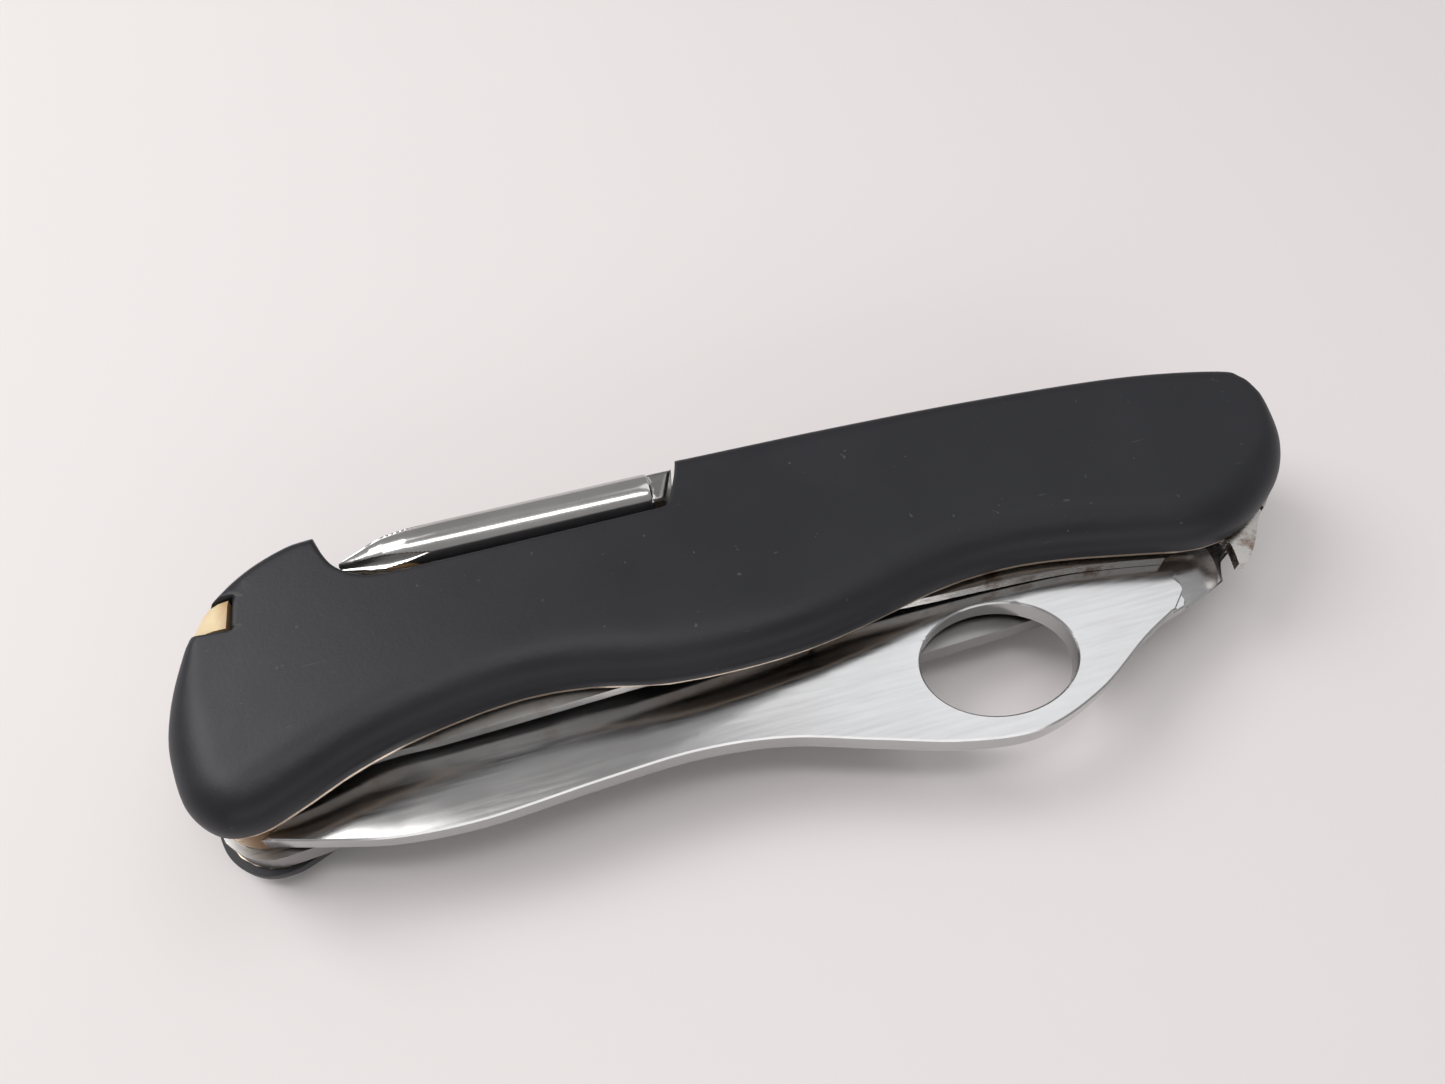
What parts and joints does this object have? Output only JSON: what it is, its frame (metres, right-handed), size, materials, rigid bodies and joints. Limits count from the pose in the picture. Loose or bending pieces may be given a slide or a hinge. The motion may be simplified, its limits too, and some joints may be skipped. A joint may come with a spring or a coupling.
{
  "type": "folding multi-tool pocket knife",
  "caption": "Closed folding multi-tool pocket knife: one-hand blade with an oval finger hole, openers, cross-head driver, reamer, toothpick and tweezers between two rounded scales.",
  "frame": {"origin": "centre of the bounding box in plan, at the flat outer face of the back scale", "axes": "+X along the handle towards the blade's pivot, +Y towards the back of the handle, +Z out of the front scale"},
  "size_m": [0.1116, 0.036, 0.0157],
  "materials": {
    "nylon": "matte black moulded nylon",
    "liner": "satin sheet",
    "spring_steel": "brushed",
    "leaf_steel": "brushed, a little stained",
    "blade_steel": "fine ground and polished",
    "tool_steel": "brushed",
    "driver_steel": "polished",
    "brass": "satin",
    "ivory": "satin cream plastic",
    "grey_plastic": "satin"
  },
  "bodies": {
    "handle": {"front_scale": "nylon", "back_scale": "nylon", "front_liner": "liner", "blade_liner": "liner", "back_liner": "liner", "lock_plate": "spring_steel", "blade_spring": "spring_steel", "opener_spring": "spring_steel", "blade_pin": "brass", "tool_pin": "brass", "centre_pin": "brass", "spring_pin": "brass", "blade_washer": "brass", "tool_washer": "brass", "spring_washer": "brass"},
    "lock": {"lock_leaf": "leaf_steel"},
    "blade_body": {"blade": "blade_steel"},
    "lifter_body": {"cap_lifter": "tool_steel"},
    "opener_body": {"can_opener": "tool_steel"},
    "driver_body": {"cross_driver": "driver_steel"},
    "reamer_body": {"reamer": "tool_steel"},
    "toothpick": {"toothpick_strip": "ivory", "toothpick_head": "ivory"},
    "tweezers": {"tweezer_legs": "tool_steel", "tweezer_cap": "grey_plastic"}
  },
  "joints": [
    {"name": "blade_pivot", "type": "hinge", "parent": "handle", "child": "blade_body", "pos_m": [0.04823, 0.00092, 0.00835], "axis": [0, 0, 1], "range_deg": [0, 180]},
    {"name": "lifter_pivot", "type": "hinge", "parent": "handle", "child": "lifter_body", "pos_m": [-0.04877, -0.00428, 0.00545], "axis": [0, 0, -1], "range_deg": [0, 175]},
    {"name": "opener_pivot", "type": "hinge", "parent": "handle", "child": "opener_body", "pos_m": [0.04823, 0.00092, 0.00545], "axis": [0, 0, 1], "range_deg": [0, 175]},
    {"name": "driver_pivot", "type": "hinge", "parent": "handle", "child": "driver_body", "pos_m": [-0.00117, 0.01282, 0.00835], "axis": [0, 0, -1], "range_deg": [0, 90]},
    {"name": "reamer_pivot", "type": "hinge", "parent": "handle", "child": "reamer_body", "pos_m": [-0.00117, 0.01282, 0.00545], "axis": [0, 0, 1], "range_deg": [0, 90]},
    {"name": "toothpick_slide", "type": "slide", "parent": "handle", "child": "toothpick", "axis": [-0.9976, 0.0698, 0], "range_m": [0, 0.032]},
    {"name": "tweezers_slide", "type": "slide", "parent": "handle", "child": "tweezers", "axis": [-0.9943, 0.1071, 0], "range_m": [0, 0.034]},
    {"name": "lock_release", "type": "hinge", "parent": "handle", "child": "lock", "pos_m": [0.00193, -0.00308, 0.0102], "axis": [0, -1, 0], "range_deg": [0, 0.5], "stiffness_Nm_per_rad": 5}
  ]
}
